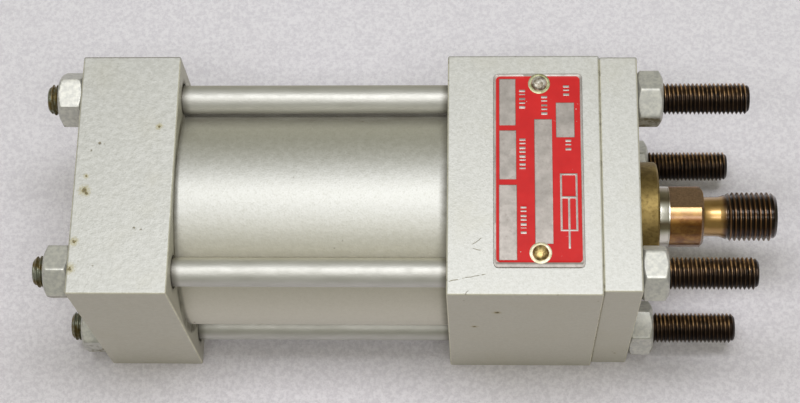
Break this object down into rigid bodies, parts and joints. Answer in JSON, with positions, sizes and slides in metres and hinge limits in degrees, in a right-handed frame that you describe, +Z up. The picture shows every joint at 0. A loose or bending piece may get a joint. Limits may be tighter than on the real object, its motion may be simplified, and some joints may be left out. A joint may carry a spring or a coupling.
{
  "type": "pneumatic cylinder",
  "caption": "Square-head tie-rod air cylinder with a round tube, front mounting studs, a bronze rod gland and a male-threaded rod with wrench flats.",
  "frame": {"origin": "on the rod's axis in the front face of the retainer plate, where the gland's pilot begins", "axes": "+X along the piston rod, out of the front; +Z up, through the nameplate; the cylinder rests on its -Z side"},
  "size_m": [0.1879, 0.0636, 0.0651],
  "materials": {
    "cap_paint": "silver-grey paint with a hammered texture, worn at the edges",
    "head_paint": "silver-grey paint, satin, small scratches",
    "tube_paint": "silver-grey paint on a round steel tube, satin",
    "tie_rod_steel": "steel, painted between the blocks, dark and rusty on the front threads",
    "nut_paint": "silver-grey paint with oil stains",
    "gland_bronze": "tarnished bronze",
    "seal_rubber": "black nitrile",
    "wear_plastic": "filled PTFE",
    "rod_chrome": "hard chrome, oxidised brown in front of the gland, dark rusty thread",
    "piston_iron": "machined iron",
    "plain_steel": "machined steel",
    "label_enamel": "red enamel on bright metal",
    "screw_steel": "dull plated steel"
  },
  "bodies": {
    "housing": {"cylinder_tube": "tube_paint", "front_head": "head_paint", "front_nut_1": "nut_paint", "front_nut_2": "nut_paint", "front_nut_3": "nut_paint", "front_nut_4": "nut_paint", "gland_o_ring": "seal_rubber", "nameplate": "label_enamel", "plate_screw_1": "screw_steel", "plate_screw_2": "screw_steel", "rear_cap": "cap_paint", "rear_nut_1": "nut_paint", "rear_nut_2": "nut_paint", "rear_nut_3": "nut_paint", "rear_nut_4": "nut_paint", "retainer_plate": "head_paint", "rod_gland": "gland_bronze", "rod_seal": "seal_rubber", "rod_wiper": "seal_rubber", "tie_rod_1": "tie_rod_steel", "tie_rod_2": "tie_rod_steel", "tie_rod_3": "tie_rod_steel", "tie_rod_4": "tie_rod_steel", "tube_seal_front": "seal_rubber", "tube_seal_rear": "seal_rubber"},
    "piston_seals": {"piston_seal_front": "seal_rubber", "piston_seal_rear": "seal_rubber", "wear_ring": "wear_plastic"},
    "rod": {"piston_rod": "rod_chrome", "piston": "piston_iron", "piston_o_ring": "seal_rubber", "piston_nut": "plain_steel"}
  },
  "joints": [
    {"name": "rod_stroke", "type": "slide", "parent": "housing", "child": "piston_seals", "axis": [1, 0, 0], "range_m": [0, 0.0381]},
    {"name": "rod_spin", "type": "hinge", "parent": "piston_seals", "child": "rod", "pos_m": [0, 0, 0], "axis": [1, 0, 0], "continuous": true}
  ]
}
